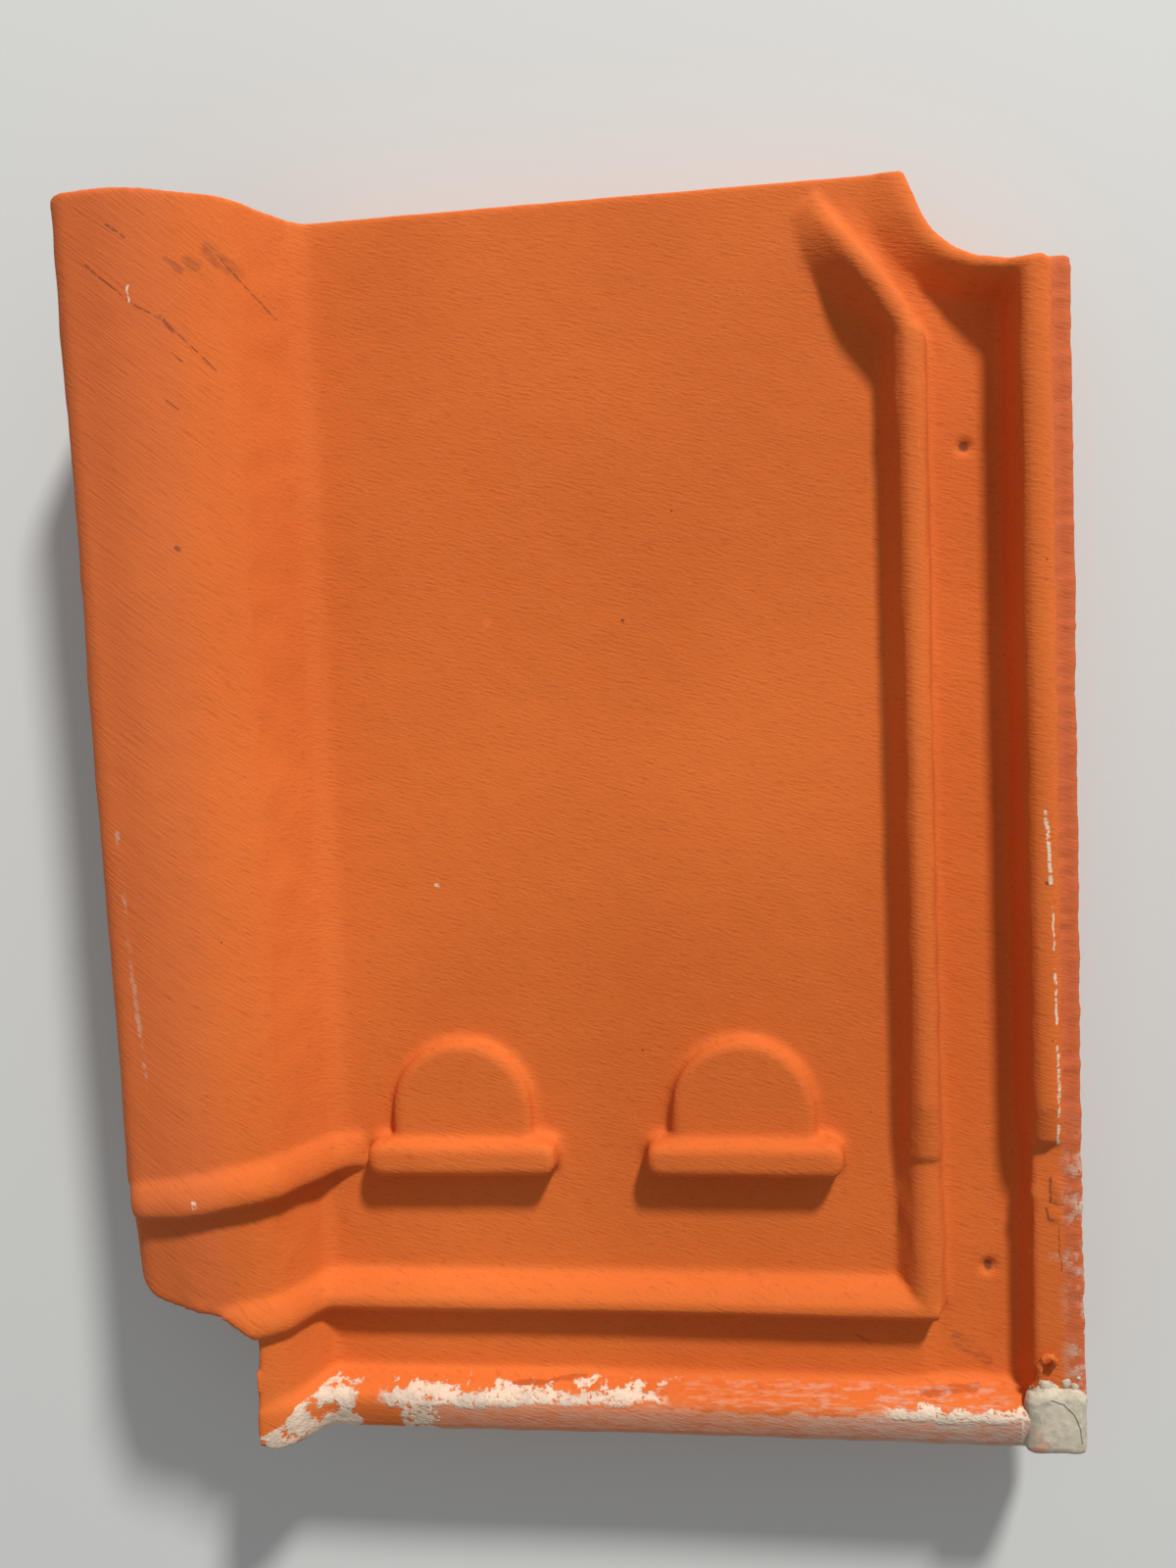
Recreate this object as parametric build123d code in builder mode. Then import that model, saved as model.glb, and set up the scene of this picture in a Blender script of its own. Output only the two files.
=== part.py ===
from build123d import *
import math
import os

# Interlocking clay pantile, face up: +X from the roll to the water fold,
# +Y from the head to the tail, +Z out of the face. Millimetres.
# The origin is under the middle of the tile, on the plane that it rests on.

# Overall
tile_length = 332.5
tile_width = 256.3
body_thickness = 13.0
nib_depth = 11.5

# Roll along the left edge, wider at the tail than at the head
roll_width_tail = 56.3
roll_width_head = 49.0
roll_crown_tail = 30.0
roll_crown_bead = 29.0
roll_crown_below_bead = 28.0
roll_crown_head = 20.0
roll_slope_angle = 58.0
head_slope_angle = 62.0
head_crease_shift = 4.0
shoulder_height = 19.5
crown_share = 0.62
roll_edge_drop = 1.5
crease_radius = 9.0
head_crease_radius = 5.0
shoulder_radius = 17.0
crown_radius = 30.0
roll_edge_radius = 6.5
lip_thickness = 8.0
lip_clearance = 1.0
roll_thickness = 11.5

# Water fold along the right edge
flange_width = 13.0
flange_rise = 7.0
flange_undercut = 5.0
channel_width = 20.5
channel_depth = 1.5
outer_rib_from_edge = 9.75
inner_rib_from_edge = 40.5
rib_draft = 2.2
rib_round = 3.8
outer_rib_base = 11.5
outer_rib_height = 12.0
outer_rib_end_height = 9.5
outer_rib_fall = 10.0
inner_rib_base = 12.5
inner_rib_height = 9.8
inner_rib_pan_run = 4.5
inner_rib_end_height = 7.6
inner_rib_fall = 15.0
inner_rib_head_height = 6.5

# Head fold, measured from the head edge
rim_width = 14.5
rim_height = 9.5
rim_climb = (1.0, 0.1, 0.0)
head_groove_width = 18.0
head_bead_width = 11.0
head_bead_height = 6.8
head_bead_climb = (1.0, 1.0, 0.0)
head_bead_overlap = 3.4
low_rib_reach = 7.6

# Where the tile of the next course stops, measured from the head edge
overlap_length = 71.5
bar_length = 53.5
bar_width = 10.5
bar_height = 8.5
bar_draft = 4.0
bar_corner = 4.2
bar_round = 2.5
pad_radius = 19.5
pad_depth = 26.5
pad_height = 4.5
pad_round = 2.5
left_bar_from_crease = 36.5
bar_spacing = 76.5
weather_bead_width = 11.5
weather_bead_height = 4.5
weather_bead_climb = (0.4, 1.15, 0.58)
weather_bead_run_out = 6.4
weather_bead_turn = 4.5
weather_bead_inset = 1.0
inner_rib_end = 77.5
outer_rib_end = 82.5

# Outlet of the channel at the tail
diagonal_start_from_tail = 42.5
diagonal_end_from_tail = 7.0
diagonal_shift = 24.8
diagonal_end_height = 1.0
diagonal_flank_spread = 4.0
diagonal_crest_narrowing = 3.0
outlet_width = 18.0

# Corner notches
tail_notch_width = 39.0
tail_notch_depth = 26.4
tail_notch_slant = 8.9
tail_notch_rise = 0.3
tail_notch_radius = 27.0
tail_rim_run_at_tail = 15.0
tail_rim_run_at_rib = 3.0
tail_rim_top_width = 3.0
tail_rim_end_height = 0.6
head_notch_depth = 46.5
head_notch_shoulder = 39.0
head_notch_throat = 34.0
head_strip_overlap = 18.6
head_strip_corner = 20.3
head_notch_step = 26.0
head_notch_radii = (5.0, 5.0, 8.0, 12.0)

# Underside
nib_width = 34.0
nib_length = 15.0
nib_bearing_from_head = 38.0
nib_spacing = 88.0
nib_lean = 3.0
lip_draft = 8.0
rest_lip_from_tail = 40.0
rest_lip_width = 13.0
lip_margin = 12.0
drip_edge_depth = 4.0
drip_edge_width = 9.0
under_round = 3.0
edge_round = 1.5

# Reference levels and lines
underside_z = nib_depth
pan_z = nib_depth + body_thickness
left_x = -tile_width / 2
right_x = tile_width / 2
head_y = -tile_length / 2
tail_y = tile_length / 2
crease_x = left_x + roll_width_tail
outer_rib_x = right_x - outer_rib_from_edge
inner_rib_x = right_x - inner_rib_from_edge
flange_x = right_x - flange_width
pan_middle_x = (crease_x + inner_rib_x) / 2
seam_x = crease_x + crease_radius
overrun = 6.0
bite = 3.0
bed = 8.0
sink = 0.6


def roll_width(y):
    return roll_width_head + (roll_width_tail - roll_width_head) * (y - head_y) / tile_length


# A plane across the tile: local x is +X, local y is +Z, and extrusions run towards the head
def across(y):
    return Plane(origin=(0, y, 0), x_dir=(1, 0, 0), z_dir=(0, -1, 0))


# Where the roll meets the pan, how steeply and with what hollow: it is narrower on the head side
# of the bead over it
def roll_foot(crown_height):
    if crown_height < roll_crown_bead:
        return crease_x - head_crease_shift, head_slope_angle, head_crease_radius
    return crease_x, roll_slope_angle, crease_radius


# Corners of the roll's upper line at one place along the tile, from the crease to the outer edge
def roll_line(y, crown_height):
    foot_x, slope_angle, _ = roll_foot(crown_height)
    shoulder_run = shoulder_height / math.tan(math.radians(slope_angle))
    return [
        (foot_x, pan_z),
        (foot_x - shoulder_run, pan_z + shoulder_height),
        (crease_x - crown_share * roll_width(y), pan_z + crown_height),
        (crease_x - roll_width(y), pan_z + crown_height - roll_edge_drop),
    ]


def filleted_face(y, corners):
    with BuildSketch(across(y)) as section:
        with BuildLine():
            FilletPolyline(*[point for point, _ in corners], radius=[r for _, r in corners], close=True)
        make_face()
    return section.sketch


# The roll's cross-section at one place along the tile, as far as the seam with the pan
def roll_section(y, crown_height):
    crease, shoulder, crown, edge = roll_line(y, crown_height)
    foot_x, slope_angle, foot_radius = roll_foot(crown_height)
    outer_x = edge[0]
    lip_z = pan_z + lip_clearance
    ceiling_z = crown[1] - roll_thickness
    slope = math.radians(slope_angle)
    slope_foot = foot_x - roll_thickness / math.sin(slope) + body_thickness / math.tan(slope)
    slope_top = slope_foot - (ceiling_z - underside_z) / math.tan(slope)
    corners = [
        ((seam_x, pan_z), 0),
        (crease, foot_radius),
        (shoulder, shoulder_radius),
        (crown, crown_radius),
        (edge, roll_edge_radius),
        ((outer_x, lip_z), edge_round),
        ((outer_x + lip_thickness, lip_z), edge_round),
        ((outer_x + lip_thickness, ceiling_z), under_round),
        ((slope_top, ceiling_z), under_round),
        ((slope_foot, underside_z), foot_radius),
        ((seam_x, underside_z), 0),
    ]
    return filleted_face(y, corners)


# The cross-section of the pan and the water fold, the same along the whole tile
def pan_section(y):
    floor_x = flange_x - rib_draft
    corners = [
        ((seam_x, underside_z), 0),
        ((flange_x - flange_undercut, underside_z), under_round),
        ((flange_x, underside_z + flange_undercut), under_round),
        ((right_x, underside_z + flange_undercut), edge_round),
        ((right_x, pan_z + flange_rise), edge_round),
        ((flange_x, pan_z + flange_rise), edge_round),
        ((floor_x, pan_z - channel_depth), under_round),
        ((floor_x - channel_width, pan_z - channel_depth), 0),
        ((inner_rib_x, pan_z), 0),
        ((seam_x, pan_z), 0),
    ]
    return filleted_face(y, corners)


# A bead's outline: local y is its height above the surface, local x runs towards the far flank
def bead_outline(base, height, near_run, far_run, far_drop, top_round):
    with BuildSketch() as outline:
        with BuildLine():
            Polyline(
                (-base / 2, -bite),
                (-base / 2, 0),
                (-base / 2 + near_run, height),
                (base / 2 - far_run, height),
                (base / 2, height - far_drop),
                (base / 2, -bite),
                close=True,
            )
        make_face()
        fillet(outline.vertices().group_by(Axis.Y)[-1], top_round)
    return outline.sketch


# What stands above a surface, or a little below it where a bead has run out
def lift(height, share):
    return height * share if height * share > 0 else -sink


# A bead laid across the tile: each station has its place, its height and the crown below it.
# Heights are plumb; climb is the share of them at the bead's start, on the shoulder and on the crown.
def cross_bead(stations, from_x, climb, end_inset=0.0):
    start_share, shoulder_share, crown_share_of_height = climb
    with BuildPart() as bead:
        for y, height, crown_height in stations:
            crease, shoulder, crown, edge = roll_line(y, crown_height)
            foot_radius = roll_foot(crown_height)[2]
            crown_lift = lift(height, crown_share_of_height)
            low_crown = crown[1] - bed
            corners = [
                ((from_x, pan_z + lift(height, start_share)), 0),
                ((crease[0], pan_z + lift(height, 1)), foot_radius),
                ((shoulder[0], shoulder[1] + lift(height, shoulder_share)), shoulder_radius),
                ((crown[0], crown[1] + crown_lift), crown_radius),
                ((edge[0] + end_inset, edge[1] + crown_lift), roll_edge_radius),
                ((edge[0] + end_inset, low_crown - roll_edge_drop), 0),
                ((crown[0], low_crown), 0),
                ((shoulder[0], shoulder[1] - bed), 0),
                ((crease[0], pan_z - bed), 0),
                ((from_x, pan_z - bed), 0),
            ]
            add(filleted_face(y, corners))
        loft(ruled=True)
    return bead.part


# Stations of a bead from a profile of shares: from its tailward foot to its headward foot
def bead_stations(profile, near_y, width, height, near_crown, far_crown):
    return [
        (near_y - width * run, height * rise, far_crown if run == 1 else near_crown)
        for run, rise in profile
    ]


# A straight rib along the tile: each station has its place and its height
def long_rib(x, base, pan_run, stations):
    with BuildPart() as rib:
        for y, height in stations:
            with BuildSketch(across(y).shift_origin((x, y, pan_z))):
                add(bead_outline(base, height, pan_run, rib_draft, height, rib_round))
        loft(ruled=True)
    return rib.part


# Steep towards the head, soft towards the tail
bead_profile = ((0.0, 0.0), (0.28, 0.62), (0.53, 0.96), (0.76, 1.0), (0.93, 0.75), (1.0, 0.0))
rim_profile = ((0.0, 0.0), (0.1, 0.55), (0.22, 0.93), (0.36, 1.0), (0.6, 0.93), (0.85, 0.78), (1.0, 0.55))

# Places along the tile
head_bead_y = head_y + rim_width + head_groove_width + head_bead_width
weather_bead_y = head_y + overlap_length + weather_bead_width
diagonal_start = Vector(inner_rib_x, tail_y - diagonal_start_from_tail, pan_z)
diagonal_end = Vector(inner_rib_x - diagonal_shift, tail_y - diagonal_end_from_tail, pan_z)
channel_left_x = flange_x - rib_draft - channel_width

# Tail notch: from the tail edge round to the right edge
notch_start_x = right_x - tail_notch_width
notch_corner_x = notch_start_x + tail_notch_slant
notch_straight = tail_notch_depth - tail_notch_rise
tail_notch_points = [
    (notch_start_x, tail_y),
    (notch_corner_x, tail_y - notch_straight),
    (right_x + overrun, tail_y - tail_notch_depth),
]

# What is trimmed off: all that lies outside the plan of the tile with its corner notches
with BuildPart() as offcut:
    strip_x = crease_x - head_strip_overlap
    wall_x = crease_x - roll_width(head_y + head_notch_shoulder) - edge_round / 4
    with BuildSketch():
        Rectangle(tile_width + 4 * overrun, tile_length + 4 * overrun)
        with BuildLine():
            FilletPolyline(
                (left_x - overrun, tail_y),
                *tail_notch_points,
                (right_x + overrun, head_y),
                (crease_x - head_strip_corner, head_y),
                (strip_x, head_y + head_notch_throat),
                (crease_x - head_notch_step, head_y + head_notch_shoulder),
                (wall_x, head_y + head_notch_depth),
                (wall_x, head_y + head_notch_depth + 2 * head_notch_radii[3]),
                (left_x - overrun, head_y + head_notch_depth + 2 * head_notch_radii[3]),
                radius=[0, 0, tail_notch_radius, 0, 0, *head_notch_radii, 0, 0],
                close=True,
            )
        make_face(mode=Mode.SUBTRACT)
    extrude(amount=pan_z + 2 * roll_crown_tail)

# The body: the pan with the water fold, and the roll, which drops at the bead over it
with BuildPart() as body:
    extrude(pan_section(tail_y + overrun), amount=tile_length + 2 * overrun, dir=(0, -1, 0))
    roll_drop_y = weather_bead_y - weather_bead_width / 2
    add(roll_section(tail_y + overrun, roll_crown_tail))
    add(roll_section(roll_drop_y, roll_crown_bead))
    loft(ruled=True)
    add(roll_section(roll_drop_y, roll_crown_below_bead))
    add(roll_section(head_y - overrun, roll_crown_head))
    loft(ruled=True)
    # The channel turns out to the tail between the diagonal rib and the notch, rising to the pan
    outlet_floor = Plane(
        origin=(channel_left_x, diagonal_start.Y, pan_z - channel_depth),
        x_dir=(1, 0, 0),
        z_dir=(0, -channel_depth, diagonal_start_from_tail),
    )
    with BuildSketch(outlet_floor):
        with BuildLine():
            Polyline(
                (0, 0),
                (channel_width, 0),
                (notch_corner_x - channel_left_x, tail_notch_points[1][1] - diagonal_start.Y),
                (notch_start_x - channel_left_x, diagonal_start_from_tail),
                (notch_start_x - outlet_width - channel_left_x, diagonal_start_from_tail),
                close=True,
            )
        make_face()
    extrude(amount=2 * channel_depth, mode=Mode.SUBTRACT)
    add(offcut.part, mode=Mode.SUBTRACT)

# The ribs of the water fold; the inner one goes on, lower, into the bead at the head
inner_rib_end_y = head_y + inner_rib_end
outer_rib_end_y = head_y + outer_rib_end
inner_rib_stations = (
    (diagonal_start.Y, inner_rib_height),
    (inner_rib_end_y + inner_rib_fall, inner_rib_height),
    (inner_rib_end_y, inner_rib_end_height),
)
low_rib_stations = (
    (inner_rib_end_y + bite, inner_rib_head_height),
    (head_bead_y - low_rib_reach, inner_rib_head_height),
)
outer_rib_stations = (
    (tail_y - tail_notch_depth - edge_round, outer_rib_height),
    (outer_rib_end_y + outer_rib_fall, outer_rib_height),
    (outer_rib_end_y, outer_rib_end_height),
)
inner_rib = long_rib(inner_rib_x, inner_rib_base, inner_rib_pan_run, inner_rib_stations)
low_rib = long_rib(inner_rib_x, inner_rib_base, inner_rib_pan_run, low_rib_stations)
outer_rib = long_rib(outer_rib_x, outer_rib_base, rib_draft, outer_rib_stations)

# The inner rib runs out in a falling diagonal, narrow at its end and soft on the side of the pan
diagonal_stations = (
    (0.0, 0.0, 0.0),
    (0.3, 0.03, 0.5),
    (0.55, 0.15, 1.0),
    (0.75, 0.53, 0.8),
    (1.0, 1.0, 0.1),
)
with BuildPart() as diagonal_rib:
    run = diagonal_end - diagonal_start
    for share, fall, softness in diagonal_stations:
        height = inner_rib_height + (diagonal_end_height - inner_rib_height) * fall
        spread = diagonal_flank_spread * softness
        base = inner_rib_base + spread - diagonal_crest_narrowing * share
        pan_run = inner_rib_pan_run + spread
        top_round = min(rib_round * (1 - 0.4 * share), height * 0.6)
        lean = run if share > 0 else Vector(0, 1, 0)
        side = Vector(lean.Y, -lean.X, 0).normalized()
        middle = diagonal_start + run * share + side * (inner_rib_base - base) / 2
        with BuildSketch(Plane(origin=middle, x_dir=side, z_dir=lean * -1)):
            add(bead_outline(base, height, pan_run, rib_draft, height, top_round))
    loft()

# The rim round the tail notch: low and broad at the tail edge, high and steep at the outer rib
tail_rim_rises = (
    (0.0, 0.0),
    (0.12, 0.04),
    (0.33, 0.17),
    (0.46, 0.22),
    (0.59, 0.33),
    (0.71, 0.51),
    (0.84, 0.76),
    (0.94, 0.97),
    (1.0, 1.0),
)
with BuildPart() as tail_rim:
    with BuildLine(Plane.XY.offset(pan_z - channel_depth)) as rim_line:
        FilletPolyline(
            (notch_start_x - tail_notch_slant * overrun / notch_straight, tail_y + overrun),
            tail_notch_points[1],
            (outer_rib_x + rib_draft, tail_y - tail_notch_depth),
            radius=[tail_notch_radius],
        )
    for share, rise in tail_rim_rises:
        height = channel_depth + tail_rim_end_height + (outer_rib_height - tail_rim_end_height) * rise
        inner_run = tail_rim_run_at_tail + (tail_rim_run_at_rib - tail_rim_run_at_tail) * share
        base = inner_run + tail_rim_top_width + edge_round
        heading = rim_line.line % share
        side = Vector(0, 0, 1).cross(heading)
        middle = rim_line.line @ share - side * (base - edge_round) / 2
        top_round = edge_round * min(1, height / 4)
        with BuildSketch(Plane(origin=middle, x_dir=side, z_dir=heading)):
            add(bead_outline(base, height, inner_run, edge_round, height, top_round))
    loft(ruled=True)
    add(offcut.part, mode=Mode.SUBTRACT)

# Half-round pads behind the bars
bar_y = head_y + overlap_length + bar_width / 2
bar_places = [(crease_x + left_bar_from_crease + step * bar_spacing, bar_y) for step in range(2)]
pad_straight = pad_depth - pad_radius
with BuildPart() as pads:
    with BuildSketch(Plane.XY.offset(pan_z - bite)):
        with Locations(*bar_places):
            with Locations((0, pad_straight + bar_width / 2)):
                Circle(pad_radius)
            with Locations((0, (pad_straight + bar_width / 2) / 2)):
                Rectangle(2 * pad_radius, pad_straight + bar_width / 2)
            with Locations((0, -pad_radius / 2)):
                Rectangle(2 * pad_radius, pad_radius, mode=Mode.SUBTRACT)
    extrude(amount=bite + pad_height)
    fillet(pads.faces().group_by(Axis.Z)[-1].edges(), pad_round)

# Bars that stop the next course
with BuildPart() as bars:
    with BuildSketch(Plane.XY.offset(pan_z - bite)):
        with Locations(*bar_places):
            RectangleRounded(bar_length, bar_width, bar_corner)
    extrude(amount=bite + bar_height, taper=bar_draft)
    fillet(bars.faces().group_by(Axis.Z)[-1].edges(), bar_round)

# The bead over the roll runs out at the crease; the roll is lower on its head side
weather_stations = bead_stations(
    bead_profile,
    weather_bead_y,
    weather_bead_width,
    weather_bead_height,
    roll_crown_bead,
    roll_crown_below_bead,
)
weather_bead = cross_bead(
    weather_stations,
    crease_x + weather_bead_run_out,
    weather_bead_climb,
    weather_bead_inset,
).rotate(Axis((crease_x, weather_bead_y, 0), (0, 0, 1)), weather_bead_turn)

# The bead and the rim at the head, with the groove between them
with BuildPart() as head_beads:
    head_crown = roll_crown_head + (roll_crown_below_bead - roll_crown_head) / 2
    head_stations = bead_stations(
        bead_profile, head_bead_y, head_bead_width, head_bead_height, head_crown, head_crown
    )
    rim_stations = bead_stations(
        rim_profile, head_y + rim_width, rim_width, rim_height, roll_crown_head, roll_crown_head
    )
    add(cross_bead(head_stations, inner_rib_x + head_bead_overlap, head_bead_climb))
    add(cross_bead(rim_stations, flange_x, rim_climb))
    add(offcut.part, mode=Mode.SUBTRACT)

# Nibs: the side towards the tail is square and bears on the batten
nib_y = head_y + nib_bearing_from_head
with BuildPart() as nibs:
    for side in (-1, 1):
        with BuildSketch(Plane.YZ.offset(pan_middle_x + side * nib_spacing / 2)):
            with BuildLine():
                FilletPolyline(
                    (nib_y, underside_z + bite),
                    (nib_y, 0),
                    (nib_y - nib_length + nib_lean, 0),
                    (nib_y - nib_length, underside_z + bite),
                    radius=[0, edge_round, edge_round, 0],
                    close=True,
                )
            make_face()
        extrude(amount=nib_width / 2, both=True)

# Lip that drops into the head groove of the tile below, as deep as the nibs, and the drip edge
with BuildPart() as tail_lips:
    lip_length = inner_rib_x - crease_x - 2 * lip_margin
    with BuildSketch(Plane.XY.offset(underside_z + bite)):
        with Locations((pan_middle_x, tail_y - rest_lip_from_tail - rest_lip_width / 2)):
            Rectangle(lip_length, rest_lip_width)
    extrude(amount=-underside_z - bite, taper=lip_draft)
    with BuildSketch(Plane.XY.offset(underside_z + bite)):
        with Locations((pan_middle_x, tail_y - drip_edge_width / 2)):
            Rectangle(lip_length, drip_edge_width)
    extrude(amount=-drip_edge_depth - bite)

with BuildPart() as roof_tile:
    add(body.part)
    add(head_beads.part)
    add(weather_bead)
    add(inner_rib)
    add(low_rib)
    add(outer_rib)
    add(diagonal_rib.part)
    add(tail_rim.part)
    add(pads.part)
    add(bars.part)
    add(nibs.part)
    add(tail_lips.part)

roof_tile.part.label = "roof_tile"
os.makedirs("parts", exist_ok=True)
export_step(roof_tile.part, "parts/roof_tile.step")
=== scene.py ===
import math
import random

import bmesh
import bpy
from mathutils import Matrix, Vector, noise


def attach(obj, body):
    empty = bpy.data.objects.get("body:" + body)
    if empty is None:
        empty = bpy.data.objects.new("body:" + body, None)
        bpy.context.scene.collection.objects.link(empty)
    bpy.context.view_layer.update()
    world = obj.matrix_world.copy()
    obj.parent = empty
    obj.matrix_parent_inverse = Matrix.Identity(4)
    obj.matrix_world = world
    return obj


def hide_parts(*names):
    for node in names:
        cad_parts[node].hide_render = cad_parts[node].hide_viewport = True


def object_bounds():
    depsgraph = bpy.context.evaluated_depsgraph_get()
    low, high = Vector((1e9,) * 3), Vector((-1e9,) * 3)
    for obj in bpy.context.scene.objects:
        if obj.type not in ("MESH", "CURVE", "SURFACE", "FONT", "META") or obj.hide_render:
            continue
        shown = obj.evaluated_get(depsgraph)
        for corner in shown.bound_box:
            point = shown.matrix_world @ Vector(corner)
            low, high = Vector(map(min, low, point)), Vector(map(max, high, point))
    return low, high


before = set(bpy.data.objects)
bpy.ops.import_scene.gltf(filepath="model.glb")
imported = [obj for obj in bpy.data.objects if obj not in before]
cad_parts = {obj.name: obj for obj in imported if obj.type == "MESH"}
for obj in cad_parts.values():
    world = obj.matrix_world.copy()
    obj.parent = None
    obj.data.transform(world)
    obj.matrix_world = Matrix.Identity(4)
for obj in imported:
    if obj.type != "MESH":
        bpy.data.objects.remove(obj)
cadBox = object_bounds()
print("frame loaded")


# Places of shapes and marks are written in millimetres, in the frame's own axes
def metres(millimetres):
    return Vector([value / 1000 for value in millimetres])


def newPiece(name, mesh, material):
    piece = bpy.data.objects.new(name, mesh)
    bpy.context.scene.collection.objects.link(piece)
    mesh.materials.clear()
    mesh.materials.append(material)
    return piece


def bakeModifiers(piece):
    graph = bpy.context.evaluated_depsgraph_get()
    mesh = bpy.data.meshes.new_from_object(piece.evaluated_get(graph))
    old = piece.data
    piece.modifiers.clear()
    piece.data = mesh
    bpy.data.meshes.remove(old)


# Even cells all over a piece, for its relief to push
def addRemesh(piece, cellSize):
    remesh = piece.modifiers.new("remesh", "REMESH")
    remesh.mode = "VOXEL"
    remesh.voxel_size = cellSize / 1000


def keepInBox(point):
    low, high = cadBox
    return Vector([min(max(point[i], low[i]), high[i]) for i in range(3)])


def smoothShade(mesh):
    mesh.polygons.foreach_set("use_smooth", [True] * len(mesh.polygons))
    mesh.update()


def finishMesh(mesh, material):
    mesh.materials.clear()
    mesh.materials.append(material)
    smoothShade(mesh)


# Node helpers: a socket given as an input is linked, anything else is set
def add(tree, kind, inputs=None, **settings):
    node = tree.nodes.new(kind)
    for key, value in settings.items():
        setattr(node, key, value)
    for key, value in (inputs or {}).items():
        if isinstance(value, bpy.types.NodeSocket):
            tree.links.new(value, node.inputs[key])
        else:
            node.inputs[key].default_value = value
    return node


def maths(tree, operation, first, second=0.0):
    return add(tree, "ShaderNodeMath", {0: first, 1: second}, operation=operation).outputs[0]


def vectorMaths(tree, operation, first, second):
    socket = "Scale" if operation == "SCALE" else 1
    node = add(tree, "ShaderNodeVectorMath", {0: first, socket: second}, operation=operation)
    return node.outputs["Value" if operation in ("DOT_PRODUCT", "DISTANCE") else "Vector"]


def times(tree, *shares):
    result = shares[0]
    for share in shares[1:]:
        result = maths(tree, "MULTIPLY", result, share)
    return result


# From low, at the start, to high, at the end, with a smooth step between
def ramp(tree, value, start, end, low=0.0, high=1.0):
    limits = {"Value": value, "From Min": start, "From Max": end, "To Min": low, "To Max": high}
    return add(tree, "ShaderNodeMapRange", limits, interpolation_type="SMOOTHSTEP").outputs["Result"]


# 1 between two places on an axis, in metres, with soft ends
def band(tree, value, low, high, soft):
    rise = ramp(tree, value, low - soft, low + soft)
    fall = ramp(tree, value, high - soft, high + soft, 1.0, 0.0)
    return times(tree, rise, fall)


def blendColour(tree, share, first, second):
    node = add(tree, "ShaderNodeMix", data_type="RGBA")
    for socket, value in ((node.inputs[0], share), (node.inputs[6], first), (node.inputs[7], second)):
        if isinstance(value, bpy.types.NodeSocket):
            tree.links.new(value, socket)
        else:
            socket.default_value = value
    return node.outputs[2]


def noiseAt(tree, vector, scale, detail=4.0, roughness=0.6):
    settings = {"Vector": vector, "Scale": scale, "Detail": detail, "Roughness": roughness}
    return add(tree, "ShaderNodeTexNoise", settings).outputs["Fac"]


# Noise drawn out along a direction that lies some degrees from +X, with its scales along and across
def strokesAt(tree, vector, degrees, alongScale, acrossScale):
    flatness = 0.3  # the strokes reach further down than across
    turned = add(tree, "ShaderNodeMapping", {"Vector": vector, "Rotation": (0, 0, -math.radians(degrees))})
    scale = (alongScale, acrossScale, acrossScale * flatness)
    drawn = add(tree, "ShaderNodeMapping", {"Vector": turned.outputs[0], "Scale": scale})
    return noiseAt(tree, drawn.outputs[0], 1.0, 2.0, 0.65)


# An sRGB colour, 0 to 255, as the linear one that nodes take
def rgb(red, green, blue):
    shares = [value / 255 for value in (red, green, blue)]
    linear = [s / 12.92 if s <= 0.04045 else ((s + 0.055) / 1.055) ** 2.4 for s in shares]
    return (*linear, 1.0)


def newGroup(name, inputs, outputs):
    group = bpy.data.node_groups.new(name, "ShaderNodeTree")
    for socketName, kind in inputs:
        group.interface.new_socket(name=socketName, in_out="INPUT", socket_type=kind)
    for socketName, kind in outputs:
        group.interface.new_socket(name=socketName, in_out="OUTPUT", socket_type=kind)
    return group, group.nodes.new("NodeGroupInput"), group.nodes.new("NodeGroupOutput")


# Grain that clay and mortar share: fine sand over a slower unevenness
def makeGrainGroup():
    slowShare = 0.16  # the slower unevenness has this share of the sand's scale
    inputs = (("Vector", "NodeSocketVector"), ("Scale", "NodeSocketFloat"), ("Coarse", "NodeSocketFloat"))
    group, given, result = newGroup("sandGrain", inputs, (("Height", "NodeSocketFloat"),))
    fine = noiseAt(group, given.outputs["Vector"], given.outputs["Scale"], 3.0, 0.65)
    slowScale = maths(group, "MULTIPLY", given.outputs["Scale"], slowShare)
    slow = noiseAt(group, given.outputs["Vector"], slowScale, 2.0, 0.5)
    mixed = add(group, "ShaderNodeMix", {0: given.outputs["Coarse"], 2: fine, 3: slow}, data_type="FLOAT")
    group.links.new(mixed.outputs[0], result.inputs["Height"])
    return group


# A mark drawn from one place to another, seen from above: 1 on the line, 0 beyond its half width
def makeMarkGroup():
    core = 0.35  # share of the half width that is marked in full
    inputs = (
        ("Vector", "NodeSocketVector"),
        ("Start", "NodeSocketVector"),
        ("End", "NodeSocketVector"),
        ("Width", "NodeSocketFloat"),
    )
    group, given, result = newGroup("drawnMark", inputs, (("Mask", "NodeSocketFloat"),))
    here, start, end, width = list(given.outputs)[:4]
    fromStart = vectorMaths(group, "SUBTRACT", here, start)
    run = vectorMaths(group, "SUBTRACT", end, start)
    done = vectorMaths(group, "DOT_PRODUCT", fromStart, run)
    whole = vectorMaths(group, "DOT_PRODUCT", run, run)
    share = add(group, "ShaderNodeMath", {0: done, 1: whole}, operation="DIVIDE", use_clamp=True).outputs[0]
    away = vectorMaths(group, "DISTANCE", fromStart, vectorMaths(group, "SCALE", run, share))
    ratio = maths(group, "DIVIDE", away, width)
    group.links.new(ramp(group, ratio, core, 1.0, 1.0, 0.0), result.inputs["Mask"])
    return group


sandGrain = makeGrainGroup()
drawnMark = makeMarkGroup()


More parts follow.
